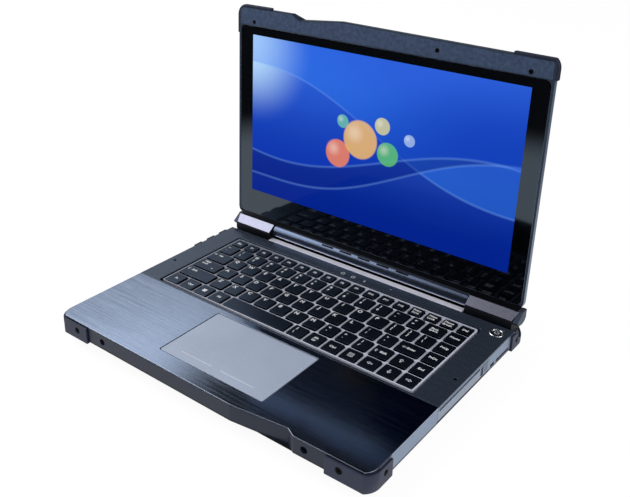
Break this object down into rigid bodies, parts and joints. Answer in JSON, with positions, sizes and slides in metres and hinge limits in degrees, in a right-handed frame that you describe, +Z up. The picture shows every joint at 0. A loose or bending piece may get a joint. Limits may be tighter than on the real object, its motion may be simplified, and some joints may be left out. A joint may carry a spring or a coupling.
{
  "type": "notebook computer",
  "caption": "Semi-rugged notebook computer with a tilting screen lid, travelling keys, a clicking touchpad, rubber corner bumpers, port covers and a removable drive caddy.",
  "frame": {"origin": "on the table, under the middle of the base, between the four feet", "axes": "+X to the right of somebody at the keyboard, +Y to the rear, +Z up"},
  "size_m": [0.3339, 0.2552, 0.2648],
  "materials": {
    "magnesium": "satin",
    "rail_metal": "satin",
    "brushed_deck": "brushed",
    "dark_deck": "satin",
    "key_frame": "satin",
    "steel": "satin",
    "pale_trim": "satin",
    "barrel_metal": "satin",
    "bright_ring": "polished",
    "light_pipe": "glossy",
    "rubber_bumper": "matte",
    "black_screw": "satin",
    "foot_rubber": "matte",
    "circuit_board": "satin",
    "copper": "satin",
    "black_plastic": "matte",
    "battery_wrap": "satin",
    "socket_metal": "satin",
    "touchpad_surface": "satin",
    "power_cap": "glossy",
    "drive_case": "satin",
    "lid_metal": "satin",
    "screen_glass": "glossy",
    "display_panel": "glossy",
    "keycap": "satin"
  },
  "bodies": {
    "base": {"bottom_case": "magnesium", "side_frame": "rail_metal", "port_plate": "rail_metal", "palm_rest": "brushed_deck", "keyboard_deck": "dark_deck", "keyboard_frame": "key_frame", "keyboard_plate": "steel", "accent_strip": "pale_trim", "hinge_barrel": "barrel_metal", "power_ring": "bright_ring", "status_lights": "light_pipe", "base_bumpers": "rubber_bumper", "bumper_screws": "black_screw", "case_screws": "black_screw", "feet": "foot_rubber", "service_door": "magnesium", "motherboard": "circuit_board", "heatsink": "copper", "fan_housing": "black_plastic", "battery_pack": "battery_wrap", "memory_module": "circuit_board", "wireless_card": "circuit_board", "speakers": "black_plastic", "port_sockets": "socket_metal", "audio_jack": "black_plastic", "power_inlet": "black_plastic", "card_reader": "socket_metal", "hinge_mounts": "steel", "touchpad_bracket": "steel"},
    "lid": {"lid_shell": "lid_metal", "lid_band": "lid_metal", "screen_glass": "screen_glass", "lcd_panel": "display_panel", "hinge_blocks": "magnesium", "hinge_strips": "pale_trim", "lid_bumpers": "rubber_bumper", "band_screws": "black_screw", "hinge_arms": "steel"},
    "touchpad": {"touchpad": "touchpad_surface"},
    "power_button": {"power_button": "power_cap"},
    "fan_rotor": {"fan_rotor": "black_plastic"},
    "drive_caddy": {"drive_caddy": "rail_metal", "storage_drive": "drive_case"},
    "drive_latch": {"drive_latch": "rail_metal"},
    "front_usb_cover": {"front_usb_cover": "rubber_bumper"},
    "rear_usb_cover": {"rear_usb_cover": "rubber_bumper"},
    "network_cover": {"network_cover": "rubber_bumper"},
    "function_keys": {"function_keys": "keycap"},
    "number_keys": {"number_keys": "keycap"},
    "upper_letter_keys": {"upper_letter_keys": "keycap"},
    "home_letter_keys": {"home_letter_keys": "keycap"},
    "lower_letter_keys": {"lower_letter_keys": "keycap"},
    "modifier_keys": {"modifier_keys": "keycap"},
    "space_bar": {"space_bar": "keycap"},
    "enter_key": {"enter_key": "keycap"},
    "backspace_key": {"backspace_key": "keycap"},
    "shift_keys": {"shift_keys": "keycap"},
    "tab_and_caps_keys": {"tab_and_caps_keys": "keycap"},
    "arrow_keys": {"arrow_keys": "keycap"},
    "navigation_keys": {"navigation_keys": "keycap"}
  },
  "joints": [
    {"name": "lid_hinge", "type": "hinge", "parent": "base", "child": "lid", "pos_m": [0, 0.11525, 0.0282], "axis": [-1, 0, 0], "range_deg": [-91.85, 43]},
    {"name": "touchpad_click", "type": "hinge", "parent": "base", "child": "touchpad", "pos_m": [0.0012, -0.03615, 0.0242], "axis": [1, 0, 0], "range_deg": [0, 0.5], "stiffness_Nm_per_rad": 4, "springref_deg": -1.15},
    {"name": "power_button_press", "type": "slide", "parent": "base", "child": "power_button", "axis": [0, 0, -1], "range_m": [0, 0.0008], "stiffness_N_per_m": 600, "springref_m": -0.0005},
    {"name": "fan_spin", "type": "hinge", "parent": "base", "child": "fan_rotor", "pos_m": [-0.08, 0.07595, 0.013], "axis": [0, 0, 1], "continuous": true},
    {"name": "drive_caddy_slide", "type": "slide", "parent": "base", "child": "drive_caddy", "axis": [1, 0, 0], "range_m": [0, 0.105]},
    {"name": "drive_latch_slide", "type": "slide", "parent": "drive_caddy", "child": "drive_latch", "axis": [0, -1, 0], "range_m": [0, 0.004], "stiffness_N_per_m": 120, "springref_m": -0.001},
    {"name": "front_usb_cover_hinge", "type": "hinge", "parent": "base", "child": "front_usb_cover", "pos_m": [-0.1646, 0.05135, 0.0129], "axis": [0, -1, 0], "range_deg": [0, 110]},
    {"name": "rear_usb_cover_hinge", "type": "hinge", "parent": "base", "child": "rear_usb_cover", "pos_m": [-0.1646, 0.06975, 0.0129], "axis": [0, -1, 0], "range_deg": [0, 110]},
    {"name": "network_cover_hinge", "type": "hinge", "parent": "base", "child": "network_cover", "pos_m": [-0.1646, 0.08815, 0.0129], "axis": [0, -1, 0], "range_deg": [0, 110]},
    {"name": "function_keys_press", "type": "slide", "parent": "base", "child": "function_keys", "axis": [0, 0, -1], "range_m": [0, 0.0018], "stiffness_N_per_m": 150, "springref_m": -0.002},
    {"name": "number_keys_press", "type": "slide", "parent": "base", "child": "number_keys", "axis": [0, 0, -1], "range_m": [0, 0.0018], "stiffness_N_per_m": 150, "springref_m": -0.002},
    {"name": "upper_letter_keys_press", "type": "slide", "parent": "base", "child": "upper_letter_keys", "axis": [0, 0, -1], "range_m": [0, 0.0018], "stiffness_N_per_m": 150, "springref_m": -0.002},
    {"name": "home_letter_keys_press", "type": "slide", "parent": "base", "child": "home_letter_keys", "axis": [0, 0, -1], "range_m": [0, 0.0018], "stiffness_N_per_m": 150, "springref_m": -0.002},
    {"name": "lower_letter_keys_press", "type": "slide", "parent": "base", "child": "lower_letter_keys", "axis": [0, 0, -1], "range_m": [0, 0.0018], "stiffness_N_per_m": 150, "springref_m": -0.002},
    {"name": "modifier_keys_press", "type": "slide", "parent": "base", "child": "modifier_keys", "axis": [0, 0, -1], "range_m": [0, 0.0018], "stiffness_N_per_m": 150, "springref_m": -0.002},
    {"name": "space_bar_press", "type": "slide", "parent": "base", "child": "space_bar", "axis": [0, 0, -1], "range_m": [0, 0.0018], "stiffness_N_per_m": 150, "springref_m": -0.002},
    {"name": "enter_key_press", "type": "slide", "parent": "base", "child": "enter_key", "axis": [0, 0, -1], "range_m": [0, 0.0018], "stiffness_N_per_m": 150, "springref_m": -0.002},
    {"name": "backspace_key_press", "type": "slide", "parent": "base", "child": "backspace_key", "axis": [0, 0, -1], "range_m": [0, 0.0018], "stiffness_N_per_m": 150, "springref_m": -0.002},
    {"name": "shift_keys_press", "type": "slide", "parent": "base", "child": "shift_keys", "axis": [0, 0, -1], "range_m": [0, 0.0018], "stiffness_N_per_m": 150, "springref_m": -0.002},
    {"name": "tab_and_caps_keys_press", "type": "slide", "parent": "base", "child": "tab_and_caps_keys", "axis": [0, 0, -1], "range_m": [0, 0.0018], "stiffness_N_per_m": 150, "springref_m": -0.002},
    {"name": "arrow_keys_press", "type": "slide", "parent": "base", "child": "arrow_keys", "axis": [0, 0, -1], "range_m": [0, 0.0018], "stiffness_N_per_m": 150, "springref_m": -0.002},
    {"name": "navigation_keys_press", "type": "slide", "parent": "base", "child": "navigation_keys", "axis": [0, 0, -1], "range_m": [0, 0.0018], "stiffness_N_per_m": 150, "springref_m": -0.002}
  ]
}
